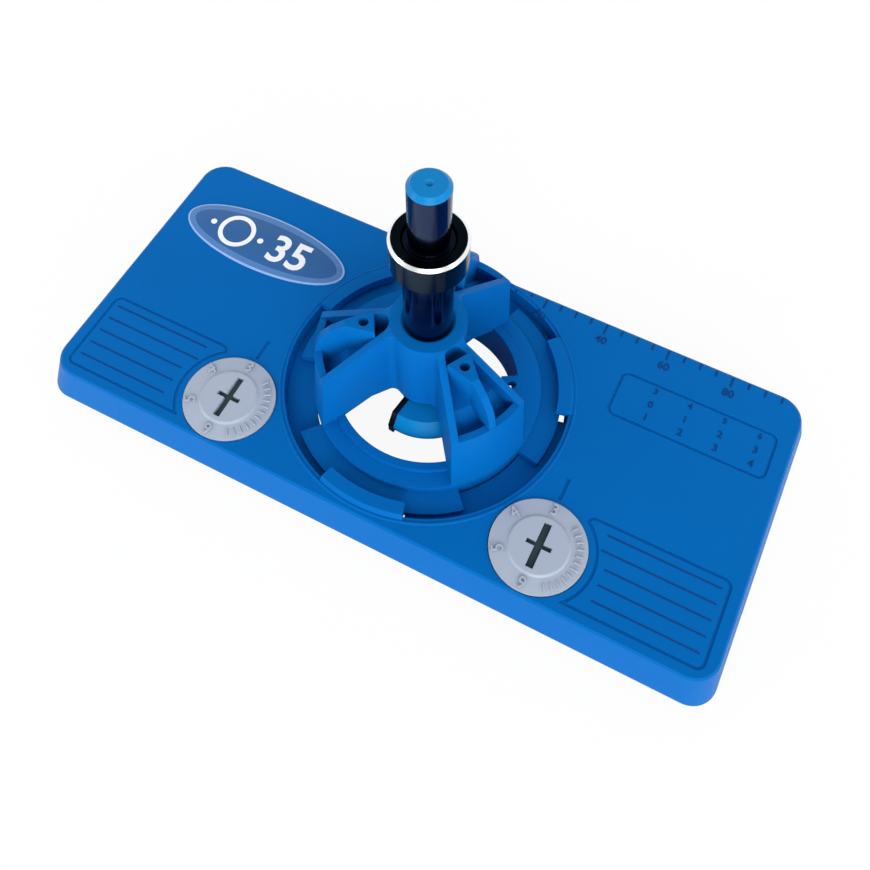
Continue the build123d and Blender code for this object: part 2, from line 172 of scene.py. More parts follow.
@dataclass(frozen=True)
class MouldedPlastic:
    """Injection-moulded plastic with the fine, even skin of a spark-eroded mould.

    The skin spreads the highlight into a soft sheen, and the colour drifts a little along the melt's flow.

    Attributes:
        name: The material's name.
        colour: Main colour.
        drift: Colour at the other end of the drift.
        flow_mm: Width of the drift's patches.
        roughness: Middle of the roughness range.
        swing: How far the grain takes the roughness to each side of its middle.
        specular: Level of the dielectric reflection, where 0.5 is an index of 1.5.
        sheen: Colour of that reflection, white for an undyed skin.
        grain_mm: Spacing of the grain, drawn about five times coarser than the real one so that it shows.
        grain_depth_mm: Depth of the grain.
        edge_mm: Radius of the moulded edges, which the shading alone rounds over.
    """

    name: str
    colour: str
    drift: str
    flow_mm: float = 35.0
    roughness: float = 0.42
    swing: float = 0.06
    specular: float = 0.3
    sheen: str = "#FFFFFF"
    grain_mm: float = 0.35
    grain_depth_mm: float = 0.012
    edge_mm: float = 0.3

    def build(self) -> bpy.types.Material:
        """Builds the finish.

        Returns:
            The material.
        """
        material, tree, shader, place = new_shader(self.name)
        flow = add_node(
            tree, "ShaderNodeTexNoise", {"Scale": 1 / (self.flow_mm * MM), "Detail": 2.0}, {"Vector": place}
        )
        tint = add_node(
            tree,
            "ShaderNodeMix",
            {"data_type": "RGBA", 6: linear(self.colour), 7: linear(self.drift)},
            {0: flow.outputs["Fac"]},
        )
        grain = add_node(
            tree, "ShaderNodeTexNoise", {"Scale": 1 / (self.grain_mm * MM), "Detail": 3.0}, {"Vector": place}
        )
        rough = add_node(
            tree,
            "ShaderNodeMapRange",
            {
                "From Min": NOISE_LOW,
                "From Max": NOISE_HIGH,
                "To Min": self.roughness - self.swing,
                "To Max": self.roughness + self.swing,
            },
            {"Value": grain.outputs["Fac"]},
        )
        edges = add_node(tree, "ShaderNodeBevel", {"samples": EDGE_RAYS, "Radius": self.edge_mm * MM})
        bump = add_node(
            tree,
            "ShaderNodeBump",
            {"Strength": 0.5, "Distance": self.grain_depth_mm * MM},
            {"Height": grain.outputs["Fac"], "Normal": edges.outputs["Normal"]},
        )
        tree.links.new(tint.outputs[2], shader.inputs["Base Color"])
        tree.links.new(rough.outputs["Result"], shader.inputs["Roughness"])
        tree.links.new(bump.outputs["Normal"], shader.inputs["Normal"])
        shader.inputs["Specular IOR Level"].default_value = self.specular
        shader.inputs["Specular Tint"].default_value = linear(self.sheen)
        return material


@dataclass(frozen=True)
class TurnedMetal:
    """Metal turned to size and then plated, polished or left bare.

    Its fine rings round the bit's axis draw each reflection out into a band along the axis.

    Attributes:
        name: The material's name.
        colour: Colour of the metal's reflection.
        roughness: Roughness between the turning marks.
        smear: Lowest and highest roughness, as shares of it, from handling and plating.
        smear_mm: Width of the patches in which the roughness changes.
        ring_mm: Spacing of the turning marks, drawn coarser than the real feed so that they show.
        ring_depth_mm: Depth of the turning marks.
        specular: Level of the dielectric reflection where the metal is enamelled.
        enamel: Colour of the enamel sprayed over part of the metal, or nothing.
        enamel_roughness: Roughness of the enamel.
        bare: Lowest and highest height of the metal left bare by the enamel, in millimetres.
        stretch: How far reflections are drawn out along the axis, from 0 to 1.
        edge_mm: Radius of the deburred edges, which the shading alone rounds over.
    """

    name: str
    colour: str
    roughness: float
    smear: tuple[float, float] = (0.8, 1.3)
    smear_mm: float = 6.0
    ring_mm: float = 1.257
    ring_depth_mm: float = 0.002
    specular: float = 0.2
    enamel: str = ""
    enamel_roughness: float = 0.28
    bare: tuple[float, float] = (0.0, 0.0)
    stretch: float = 0.9
    edge_mm: float = 0.15

    def build(self) -> bpy.types.Material:
        """Builds the finish.

        Returns:
            The material.
        """
        material, tree, shader, place = new_shader(self.name)
        rings = add_node(
            tree,
            "ShaderNodeTexWave",
            {
                "bands_direction": "Z",
                "Scale": WAVE_LENGTH / (self.ring_mm * MM),
                "Distortion": 1.5,
                "Detail": 2.0,
            },
            {"Vector": place},
        )
        patches = add_node(
            tree, "ShaderNodeTexNoise", {"Scale": 1 / (self.smear_mm * MM), "Detail": 3.0}, {"Vector": place}
        )
        least, most = self.smear
        rough = add_node(
            tree,
            "ShaderNodeMapRange",
            {
                "From Min": NOISE_LOW,
                "From Max": NOISE_HIGH,
                "To Min": self.roughness * least,
                "To Max": self.roughness * most,
            },
            {"Value": patches.outputs["Fac"]},
        )
        edges = add_node(tree, "ShaderNodeBevel", {"samples": EDGE_RAYS, "Radius": self.edge_mm * MM})
        bump = add_node(
            tree,
            "ShaderNodeBump",
            {"Strength": 0.4, "Distance": self.ring_depth_mm * MM},
            {"Height": rings.outputs["Fac"], "Normal": edges.outputs["Normal"]},
        )
        round_axis = add_node(tree, "ShaderNodeTangent", {"direction_type": "RADIAL", "axis": "Z"})
        tree.links.new(bump.outputs["Normal"], shader.inputs["Normal"])
        tree.links.new(round_axis.outputs["Tangent"], shader.inputs["Tangent"])
        shader.inputs["Anisotropic"].default_value = self.stretch
        shader.inputs["Anisotropic Rotation"].default_value = 0.25
        shader.inputs["Specular IOR Level"].default_value = self.specular
        if self.enamel:
            self.spray(tree, shader, place, rough.outputs["Result"])
        else:
            shader.inputs["Base Color"].default_value = linear(self.colour)
            shader.inputs["Metallic"].default_value = 1.0
            tree.links.new(rough.outputs["Result"], shader.inputs["Roughness"])
        return material

    def spray(
        self,
        tree: bpy.types.NodeTree,
        shader: bpy.types.Node,
        place: bpy.types.NodeSocket,
        rough: bpy.types.NodeSocket,
    ) -> None:
        """Covers the metal with enamel below and above its bare length.

        The metal is bare where the height is less than half the bare length away from the middle of it.

        Args:
            tree: The finish's node tree.
            shader: Its shader.
            place: Object coordinates.
            rough: Roughness of the bare metal.
        """
        low, high = self.bare
        height = add_node(tree, "ShaderNodeSeparateXYZ", None, {"Vector": place}).outputs["Z"]
        off_middle = add_node(
            tree, "ShaderNodeMath", {"operation": "SUBTRACT", 1: (low + high) / 2 * MM}, {0: height}
        )
        away = add_node(tree, "ShaderNodeMath", {"operation": "ABSOLUTE"}, {0: off_middle.outputs[0]})
        bare = add_node(
            tree, "ShaderNodeMath", {"operation": "LESS_THAN", 1: (high - low) / 2 * MM}, {0: away.outputs[0]}
        )
        tint = add_node(
            tree,
            "ShaderNodeMix",
            {"data_type": "RGBA", 6: linear(self.enamel), 7: linear(self.colour)},
            {0: bare.outputs[0]},
        )
        gloss = add_node(tree, "ShaderNodeMix", {2: self.enamel_roughness}, {0: bare.outputs[0], 3: rough})
        tree.links.new(tint.outputs[2], shader.inputs["Base Color"])
        tree.links.new(bare.outputs[0], shader.inputs["Metallic"])
        tree.links.new(gloss.outputs[0], shader.inputs["Roughness"])


@dataclass(frozen=True)
class PrintedFilm:
    """Polycarbonate label film printed from behind: an even colour under a clear, faintly hammered gloss.

    Attributes:
        name: The material's name.
        colour: Colour of the print.
        roughness: Roughness of the film's face.
        frost: Colour that speckles the print, as in a frosted border, or nothing for an even print.
        speckle_mm: Spacing of the speckles and of the hammered face.
        hammer_depth_mm: Depth of the hammered face.
    """

    name: str
    colour: str
    roughness: float
    frost: str = ""
    speckle_mm: float = 0.6
    hammer_depth_mm: float = 0.01

    def build(self) -> bpy.types.Material:
        """Builds the finish.

        Returns:
            The material.
        """
        material, tree, shader, place = new_shader(self.name)
        speckle = add_node(
            tree,
            "ShaderNodeTexNoise",
            {"Scale": 1 / (self.speckle_mm * MM), "Detail": 2.0},
            {"Vector": place},
        )
        tint = add_node(
            tree,
            "ShaderNodeMix",
            {"data_type": "RGBA", 6: linear(self.colour), 7: linear(self.frost or self.colour)},
            {0: speckle.outputs["Fac"]},
        )
        bump = add_node(
            tree,
            "ShaderNodeBump",
            {"Strength": 0.3, "Distance": self.hammer_depth_mm * MM},
            {"Height": speckle.outputs["Fac"]},
        )
        tree.links.new(tint.outputs[2], shader.inputs["Base Color"])
        tree.links.new(bump.outputs["Normal"], shader.inputs["Normal"])
        shader.inputs["Roughness"].default_value = self.roughness
        shader.inputs["Specular IOR Level"].default_value = 0.4
        return material


@dataclass(frozen=True)
class Finishes:
    """Every finish of the jig, built once."""

    blue: bpy.types.Material
    mark: bpy.types.Material
    pale: bpy.types.Material
    shade: bpy.types.Material
    black_chrome: bpy.types.Material
    bit_steel: bpy.types.Material
    bright: bpy.types.Material
    carbide: bpy.types.Material
    zinc: bpy.types.Material
    film_rim: bpy.types.Material
    film_border: bpy.types.Material
    film_field: bpy.types.Material
    film_white: bpy.types.Material

    @classmethod
    def make(cls) -> "Finishes":
        """Builds every finish.

        Returns:
            The set of materials.
        """
        return cls(
            # Glass-filled nylon, moulded: deep saturated blue with a soft sheen
            blue=MouldedPlastic(
                "moulded_blue_nylon", "#0466B4", "#0361AD", specular=0.12, sheen="#5FB4FF"
            ).build(),
            # Painted shade: the same nylon darkened to stand in for the shade round the raised marks, so that
            # they read as darker lines
            mark=MouldedPlastic(
                "blue_nylon_painted_mark_shade", "#064688", "#053F7C", roughness=0.6, specular=0.1
            ).build(),
            # Acetal, moulded: cool pale grey, a little waxy
            pale=MouldedPlastic(
                "moulded_grey_acetal", "#A9B4C6", "#A2ADC0", roughness=0.36, grain_mm=0.3
            ).build(),
            # Painted shade: the acetal darkened for the floor of a slot, where hardly any light gets
            shade=MouldedPlastic(
                "shaded_grey_acetal", "#3C4A4E", "#36454A", roughness=0.7, specular=0.1
            ).build(),
            # Steel, turned and black chrome plated: near black with hard bright reflections
            black_chrome=TurnedMetal("black_chrome_steel", "#20303A", 0.15, stretch=0.6).build(),
            # The same chrome on the bit, with blue enamel on its head and on the end of its shank
            bit_steel=TurnedMetal(
                "enamelled_bit_steel",
                "#303C58",
                0.13,
                enamel="#007ABC",
                bare=(HEAD_TOP + 0.1, SHANK_TOP - 1.1),
                stretch=0.6,
            ).build(),
            # Painted highlight: near-white steel on the collar's chamfer, standing in for the bright
            # reflection there
            bright=TurnedMetal("steel_painted_chamfer_highlight", "#F2F4F6", 0.25, stretch=0.3).build(),
            # Tungsten carbide, ground: dark grey with a dull metallic edge
            carbide=TurnedMetal("ground_carbide", "#34373C", 0.3, ring_mm=0.785, ring_depth_mm=0.004).build(),
            # Steel, zinc plated: cool silvery grey
            zinc=TurnedMetal("zinc_plated_steel", "#B4B9C0", 0.28, ring_mm=0.942).build(),
            # Label film: pale cut rim, frosted blue border, slate blue field and opaque white
            film_rim=PrintedFilm("label_film_rim", "#86ACE0", 0.25, "#9DBDEB").build(),
            film_border=PrintedFilm("label_film_frosted", "#4677B4", 0.25, "#5A88C2").build(),
            film_field=PrintedFilm("label_film_blue", "#2C5E9C", 0.2, "#35689F").build(),
            film_white=PrintedFilm("label_film_white", "#F2F5FA", 0.25).build(),
        )


class Sheaf:
    """Gathers surfaces, in millimetres, into one mesh."""

    def __init__(self) -> None:
        """Starts empty."""
        self.points: list[np.ndarray] = []
        self.faces: list[list[int]] = []
        self.count = 0

    def add(self, surface: Surface) -> None:
        """Adds one surface.

        Args:
            surface: Points, n by 3, and faces that count them from this surface's first point.
        """
        points, faces = surface
        self.faces += [[self.count + number for number in face] for face in faces]
        self.points.append(points)
        self.count += len(points)

    def make(self, name: str, material: bpy.types.Material) -> bpy.types.Object:
        """Makes the object.

        Args:
            name: The piece's name.
            material: Its finish.

        Returns:
            The object, at the origin, with its place in its mesh.
        """
        mesh = bpy.data.meshes.new(name)
        mesh.from_pydata((np.concatenate(self.points) * MM).tolist(), [], self.faces)
        work = bmesh.new()
        work.from_mesh(mesh)
        bmesh.ops.remove_doubles(work, verts=work.verts, dist=WELD_GAP)
        bmesh.ops.recalc_face_normals(work, faces=work.faces)
        work.to_mesh(mesh)
        work.free()
        mesh.shade_smooth()
        mesh.set_sharp_from_angle(angle=math.radians(SHARP_ANGLE))
        mesh.materials.append(material)
        piece = bpy.data.objects.new(name, mesh)
        bpy.context.scene.collection.objects.link(piece)
        return piece


def ring_faces(rows: int, columns: int) -> list[list[int]]:
    """Quads between closed rings of points that are numbered ring by ring.

    Args:
        rows: Number of rings.
        columns: Number of points in a ring, the last of which meets the first.

    Returns:
        Four point numbers for each quad.
    """
    row, column = np.meshgrid(np.arange(rows - 1), np.arange(columns), indexing="ij")
    after = (column + 1) % columns
    here, beyond = row * columns, (row + 1) * columns
    quads = np.stack([here + column, here + after, beyond + after, beyond + column], axis=-1)
    return quads.reshape(-1, 4).tolist()


def turned(profile: list[Place], steps: int) -> Surface:
    """Surface of revolution about Z: the profile gives radius and height, and the angle runs once round.

    Args:
        profile: Closed loop of radius and height, in millimetres.
        steps: Number of steps round the axis.

    Returns:
        Points and faces.
    """
    loop = np.array(profile + profile[:1])
    angle = np.linspace(0, 2 * np.pi, steps, endpoint=False)
    radius, height = loop[:, 0][:, None], loop[:, 1][:, None]
    points = np.stack([radius * np.cos(angle), radius * np.sin(angle), height + 0 * angle], axis=-1)
    return points.reshape(-1, 3), ring_faces(len(loop), steps)


def flat_ring(outer: float, inner: float, rise: float, steps: int) -> Surface:
    """Flat ring from z = 0 up to the rise: a turned rectangle, and a disc where the inner radius is 0."""
    return turned([(outer, 0.0), (outer, rise), (inner, rise), (inner, 0.0)], steps)


def slab(outline: np.ndarray, low: float, high: float, edge: float) -> Surface:
    """Flat slab with a softened upper edge.

    Its first ring is the outline at the bottom. The next ones move in from the outline along its inward
    normal and up, along a quarter of a circle as large as the edge.

    Args:
        outline: Closed loop of X and Y, anticlockwise, n by 2.
        low: Height of its underside.
        high: Height of its top.
        edge: Radius of the upper edge.

    Returns:
        Points and faces.
    """
    ahead = np.roll(outline, -1, axis=0) - np.roll(outline, 1, axis=0)
    length = np.maximum(np.linalg.norm(ahead, axis=1, keepdims=True), 1e-9)
    inward = np.stack([-ahead[:, 1], ahead[:, 0]], axis=1) / length
    count = len(outline)
    rings = [np.column_stack([outline, np.full(count, low)])]
    for turn in np.linspace(0, np.pi / 2, EDGE_STEPS):
        ring = outline + inward * edge * (1 - math.cos(turn))
        rings.append(np.column_stack([ring, np.full(count, high - edge * (1 - math.sin(turn)))]))
    faces = ring_faces(len(rings), count)
    faces.append(list(range(count))[::-1])
    faces.append([(len(rings) - 1) * count + number for number in range(count)])
    return np.concatenate(rings), faces


def stadium(length: float, width: float) -> np.ndarray:
    """Outline of a bar along X with round ends: two half circles joined by straight sides.

    Args:
        length: Length over both ends.
        width: Width, and diameter of the ends.

    Returns:
        Closed loop of X and Y.
    """
    turn = np.linspace(-np.pi / 2, np.pi / 2, END_STEPS)
    right = np.column_stack([np.cos(turn), np.sin(turn)]) * width / 2 + [(length - width) / 2, 0]
    return np.concatenate([right, -right])


def cross(long_bar: Place, short_bar: Place) -> np.ndarray:
    """Outline of two bars crossed at their middles: a quarter of it is mirrored twice.

    Args:
        long_bar: X and Y size of the bar along X.
        short_bar: X and Y size of the bar along Y.

    Returns:
        Closed loop of X and Y.
    """
    (length, width), (across, reach) = np.array(long_bar) / 2, np.array(short_bar) / 2
    quarter = np.array([[length, width], [across, width], [across, reach]])
    mirror = quarter[::-1] * [-1, 1]
    half = np.concatenate([quarter, mirror])
    return np.concatenate([half, -half])


def placed(surface: Surface, centre: Place, lift: float, turn: float = 0.0) -> Surface:
    """Turns a surface about Z and then moves it to its place.

    Args:
        surface: Points and faces made round the origin.
        centre: X and Y of its place.
        lift: Height of its place.
        turn: Angle of the turn in degrees.

    Returns:
        The moved points and the same faces.
    """
    points, faces = surface
    cos, sin = math.cos(math.radians(turn)), math.sin(math.radians(turn))
    spun = points @ np.array([[cos, sin, 0], [-sin, cos, 0], [0, 0, 1]])
    return spun + [centre[0], centre[1], lift], faces


def lettering(text: str, height: float, depth: float) -> Surface:
    """Raised plain numbers, centred on the origin, from z = 0 up to the depth.

    Args:
        text: The numbers.
        height: Height of a numeral in millimetres.
        depth: How far they stand up.

    Returns:
        Points and faces.
    """
    curve = bpy.data.curves.new("numerals", "FONT")
    curve.body = text
    curve.size = height / NUMERAL_SHARE
    curve.extrude = depth / 2
    curve.offset = height * NUMERAL_WEIGHT
    curve.resolution_u = 4
    curve.align_x = "CENTER"
    curve.align_y = "CENTER"
    holder = bpy.data.objects.new("numerals", curve)
    bpy.context.scene.collection.objects.link(holder)
    bpy.context.view_layer.update()
    mesh = bpy.data.meshes.new_from_object(holder.evaluated_get(bpy.context.evaluated_depsgraph_get()))
    points = np.array([vertex.co for vertex in mesh.vertices])
    faces = [list(polygon.vertices) for polygon in mesh.polygons]
    bpy.data.objects.remove(holder)
    bpy.data.curves.remove(curve)
    bpy.data.meshes.remove(mesh)
    middle = (points.min(axis=0) + points.max(axis=0)) / 2
    return points - middle + [0, 0, depth / 2], faces


def publish(piece: bpy.types.Object, body: Body, slot: Slot, *nodes: str) -> None:
    """Hands a finished piece to its body and logs it.

    Args:
        piece: The finished piece.
        body: Body that it rides on.
        slot: Material slot that its finish belongs to; not used.
        nodes: Solids that it stands for.
    """
    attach(piece, body.value)
    if nodes:
        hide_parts(*nodes)
    log.info("%s: %d faces on %s", piece.name, len(piece.data.polygons), body.value)


def dress(node: str, material: bpy.types.Material) -> None:
    """Gives a carried-over solid its finish and logs it.

    Args:
        node: The solid's name.
        material: Its finish.
    """
    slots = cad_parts[node].data.materials
    slots.clear()
    slots.append(material)
    log.info("%s: finished in %s", node, material.name)


def centre_of(node: str) -> Place:
    """X and Y of the middle of a solid's box, in millimetres."""
    low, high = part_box(node)
    return (low.x + high.x) / 2 / MM, (low.y + high.y) / 2 / MM


@dataclass(frozen=True)
class TableRow:
    """One row of the plate's table.

    Attributes:
        line: Y of its numbers.
        height: Their height.
        cells: The numbers, from left to right.
    """

    line: float
    height: float
    cells: tuple[str, ...]


@dataclass
class PlateMoulding:
    """The ribbed base plate with its bead, its rule, its table and its note panels, in millimetres.

    Attributes:
        finishes: The jig's finishes.
        mark_rise: How far marks stand up from the plate.
        mark_edge: Radius of their upper edges.
        bead_radius: Radius of the bead round the recess.
        bead_half: Half the bead's width, and its height over its own foot.
        bead_sink: How far that foot is sunk into the plate.
        bead_steps: Points over the bead, and steps round it.
        rule_line: Y of the plate's upper rear edge.
        rule_length: Length of the rule, from the guide's axis.
        rule_step: Spacing of its ticks.
        number_every: Ticks from one number to the next.
        long_tick: Length of a numbered tick.
        short_tick: Length of the other ticks.
        tick_width: Width of a tick.
        tick_margin: Distance from the plate's edge to a tick.
        number_margin: Distance from the plate's edge to the middle of the rule's numbers.
        number_height: Height of the rule's numbers.
        table_start: X of the table's first column.
        table_step: Spacing of its columns.
        table_rows: Its rows, from the rear.
        note_line: Y of the first ruled line.
        note_step: Spacing of the ruled lines.
        note_starts: X of the inner end of each line, which stops short of the dial.
        note_end: X of their outer ends.
        note_width: Width of a ruled line.
    """

    finishes: Finishes
    mark_rise: float = 0.12
    mark_edge: float = 0.05
    bead_radius: float = 43.3
    bead_half: tuple[float, float] = (0.55, 0.4)
    bead_sink: float = 0.05
    bead_steps: tuple[int, int] = (9, 160)
    rule_line: float = 43.0
    rule_length: float = 95.0
    rule_step: float = 5.0
    number_every: int = 4
    long_tick: float = 3.6
    short_tick: float = 2.2
    tick_width: float = 0.6
    tick_margin: float = 0.4
    number_margin: float = 6.2
    number_height: float = 2.6
    table_start: float = 61.0
    table_step: float = 10.5
    table_rows: tuple[TableRow, ...] = (
        TableRow(27.6, 1.9, ("3", "4", "5", "6")),
        TableRow(22.9, 2.3, ("0", "1", "2", "3")),
        TableRow(18.3, 2.3, ("1", "2", "3", "4")),
    )
    note_line: float = -19.6
    note_step: float = 4.6
    note_starts: tuple[float, ...] = (64.2, 64.2, 66.8, 66.8, 66.8)
    note_end: float = 96.4
    note_width: float = 0.45

    def build(self) -> None:
        """Builds every piece of the plate."""
        dress("base_plate", self.finishes.blue)
        self.build_bead()
        # The rule, the table and the note lines take the nylon darkened with painted shade
        self.build_rule()
        self.build_table()
        self.build_note_lines()

    def bar(self, length: float, width: float) -> Surface:
        """Low rounded bar along X, as long and wide as given."""
        return slab(stadium(length, width), 0, self.mark_rise, self.mark_edge)

    def build_bead(self) -> None:
        """Bead round the recess: half an ellipse turned about the guide's axis."""
        over, around = self.bead_steps
        reach, height = self.bead_half
        foot = PLATE_TOP - self.bead_sink
        turns = np.linspace(0, np.pi, over)
        profile = [(self.bead_radius + reach * math.cos(t), foot + height * math.sin(t)) for t in turns]
        sheaf = Sheaf()
        sheaf.add(turned(profile, around))
        publish(sheaf.make("recess_bead", self.finishes.blue), Body.PLATE, Slot.BLUE_PLASTIC)

    def build_rule(self) -> None:
        """Ticks along the rear edge, some of them longer and with a plain number."""
        ticks, numbers = Sheaf(), Sheaf()
        for step in range(int(self.rule_length / self.rule_step) + 1):
            place = step * self.rule_step
            length = self.short_tick if step % self.number_every else self.long_tick
            middle = self.rule_line - length / 2 - self.tick_margin
            ticks.add(placed(self.bar(length, self.tick_width), (place, middle), PLATE_TOP, 90))
            if step and step % self.number_every == 0:
                number = lettering(str(int(place)), self.number_height, self.mark_rise)
                numbers.add(placed(number, (place, self.rule_line - self.number_margin), PLATE_TOP))
        publish(ticks.make("rule_ticks", self.finishes.mark), Body.PLATE, Slot.BLUE_PLASTIC)
        publish(numbers.make("rule_numbers", self.finishes.mark), Body.PLATE, Slot.BLUE_PLASTIC)

    def build_table(self) -> None:
        """Plain numbers in rows inside the table's outline."""
        numbers = Sheaf()
        for row in self.table_rows:
            for column, cell in enumerate(row.cells):
                place = (self.table_start + column * self.table_step, row.line)
                numbers.add(placed(lettering(cell, row.height, self.mark_rise), place, PLATE_TOP))
        publish(numbers.make("table_numbers", self.finishes.mark), Body.PLATE, Slot.BLUE_PLASTIC)

    def build_note_lines(self) -> None:
        """Ruled lines to write on in both note panels."""
        lines = Sheaf()
        for side in (-1, 1):
            for row, start in enumerate(self.note_starts):
                place = (side * (start + self.note_end) / 2, self.note_line - self.note_step * row)
                lines.add(placed(self.bar(self.note_end - start, self.note_width), place, PLATE_TOP))
        publish(lines.make("note_lines", self.finishes.mark), Body.PLATE, Slot.BLUE_PLASTIC)


@dataclass
class Badge:
    """Oval label with a frosted border, a blue field and the cup's diameter in plain numbers, in millimetres.

    Attributes:
        finishes: The jig's finishes.
        size: Length and width of the label.
        oval_steps: Points round an oval.
        film_rise: Thickness of the film.
        film_edge: Radius of the film's cut rim.
        insets: How far the border and the field lie in from the label's outline.
        layer_foot: Height of the layers' underside over the plate.
        layer_rise: Height of the first layer's top over the plate.
        layer_step: How much higher the next layer's top is.
        layer_edge: Radius of the layers' upper edges.
        print_rise: Thickness of the white print.
        figure_height: Height of the numbers.
        figure_shift: Distance of the numbers' middle from the label's, along X.
        ring_shift: Distance of the ring's middle from the label's, along X.
        ring: Outer and inner radius of the cup's ring.
        dot_radius: Radius of the dot on each side of the ring.
        dot_gap: Distance from the ring to the middle of a dot.
        print_steps: Steps round the ring and round a dot.
    """

    finishes: Finishes
    size: tuple[float, float] = (57.0, 20.5)
    oval_steps: int = 120
    film_rise: float = 0.38
    film_edge: float = 0.2
    insets: tuple[float, float] = (0.6, 2.6)
    layer_foot: float = 0.3
    layer_rise: float = 0.4
    layer_step: float = 0.02
    layer_edge: float = 0.03
    print_rise: float = 0.08
    figure_height: float = 10.4
    figure_shift: float = 9.0
    ring_shift: float = -10.5
    ring: tuple[float, float] = (6.1, 4.6)
    dot_radius: float = 1.0
    dot_gap: float = 2.6
    print_steps: tuple[int, int] = (72, 32)

    def oval(self, inset: float) -> np.ndarray:
        """Outline of the label moved in by an inset: an ellipse round the label's centre.

        Args:
            inset: Distance from the label's own outline.

        Returns:
            Closed loop of X and Y.
        """
        turn = np.linspace(0, 2 * np.pi, self.oval_steps, endpoint=False)
        half_length, half_width = np.array(self.size) / 2 - inset
        around = np.column_stack([half_length * np.cos(turn), half_width * np.sin(turn)])
        return np.array(centre_of("badge")) + around

    def build(self) -> None:
        """Builds the label's film, its border, its field and its print."""
        film = Sheaf()
        film.add(slab(self.oval(0), PLATE_TOP, PLATE_TOP + self.film_rise, self.film_edge))
        publish(film.make("badge_film", self.finishes.film_rim), Body.PLATE, Slot.BADGE_FILM, "badge")
        foot, top = PLATE_TOP + self.layer_foot, PLATE_TOP + self.layer_rise
        layers = (("badge_border", self.finishes.film_border), ("badge_field", self.finishes.film_field))
        for number, (name, finish) in enumerate(layers):
            outline = self.oval(self.insets[number])
            layer = Sheaf()
            layer.add(slab(outline, foot, top + self.layer_step * number, self.layer_edge))
            publish(layer.make(name, finish), Body.PLATE, Slot.BADGE_FILM)
        self.build_print(top)

    def build_print(self, top: float) -> None:
        """White numbers, and beside them the cup's ring with a dot on each side.

        Args:
            top: Height of the film that carries the print.
        """
        x, y = centre_of("badge")
        outer, inner = self.ring
        ring_steps, dot_steps = self.print_steps
        white = Sheaf()
        figure = lettering("35", self.figure_height, self.print_rise)
        white.add(placed(figure, (x + self.figure_shift, y), top))
        middle = x + self.ring_shift
        white.add(placed(flat_ring(outer, inner, self.print_rise, ring_steps), (middle, y), top))
        for side in (-1, 1):
            dot = flat_ring(self.dot_radius, 0.0, self.print_rise, dot_steps)
            white.add(placed(dot, (middle + side * (outer + self.dot_gap), y), top))
        publish(white.make("badge_print", self.finishes.film_white), Body.PLATE, Slot.BADGE_FILM)


@dataclass
class DrillGuide:
    """The twist-lock guide and the bit that it carries, in millimetres.

    Attributes:
        finishes: The jig's finishes.
        hard_nodes: The bit's hard edges, spurs and point.
        collar_chamfer: Width of the chamfer round the collar's top.
        skin_out: How far the chamfer's skin of painted highlight stands out from the collar.
        skin_in: How far the skin's inner side is sunk into the collar.
        skin_steps: Steps round the skin.
    """

    finishes: Finishes
    hard_nodes: tuple[str, ...] = (
        "cutting_edge_front",
        "cutting_edge_rear",
        "rim_spur_front",
        "rim_spur_rear",
        "centre_point",
    )
    collar_chamfer: float = 0.7
    skin_out: float = 0.02
    skin_in: float = 0.03
    skin_steps: int = 96

    def build(self) -> None:
        """Dresses the moulded guide and the bit's metal, and lays painted highlight on the collar's chamfer.
        """
        dress("drill_guide", self.finishes.blue)
        dress("bit_body", self.finishes.bit_steel)
        dress("stop_collar", self.finishes.black_chrome)
        for node in self.hard_nodes:
            dress(node, self.finishes.carbide)
        dress("collar_set_screw", self.finishes.zinc)
        self.build_chamfer()

    def build_chamfer(self) -> None:
        """Skin of painted highlight on the collar's chamfer: a thin slanted band turned about the bit's axis.
        """
        low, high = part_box("stop_collar")
        radius, top, width = (high.x - low.x) / 2 / MM, high.z / MM, self.collar_chamfer
        profile = [
            (radius + self.skin_out, top - width),
            (radius - width, top + self.skin_out),
            (radius - width - self.skin_in, top - self.skin_in),
            (radius - self.skin_in, top - width - self.skin_in),
        ]
        skin = Sheaf()
        skin.add(turned(profile, self.skin_steps))
        publish(skin.make("collar_chamfer", self.finishes.bright), Body.BIT, Slot.BLACK_STEEL)


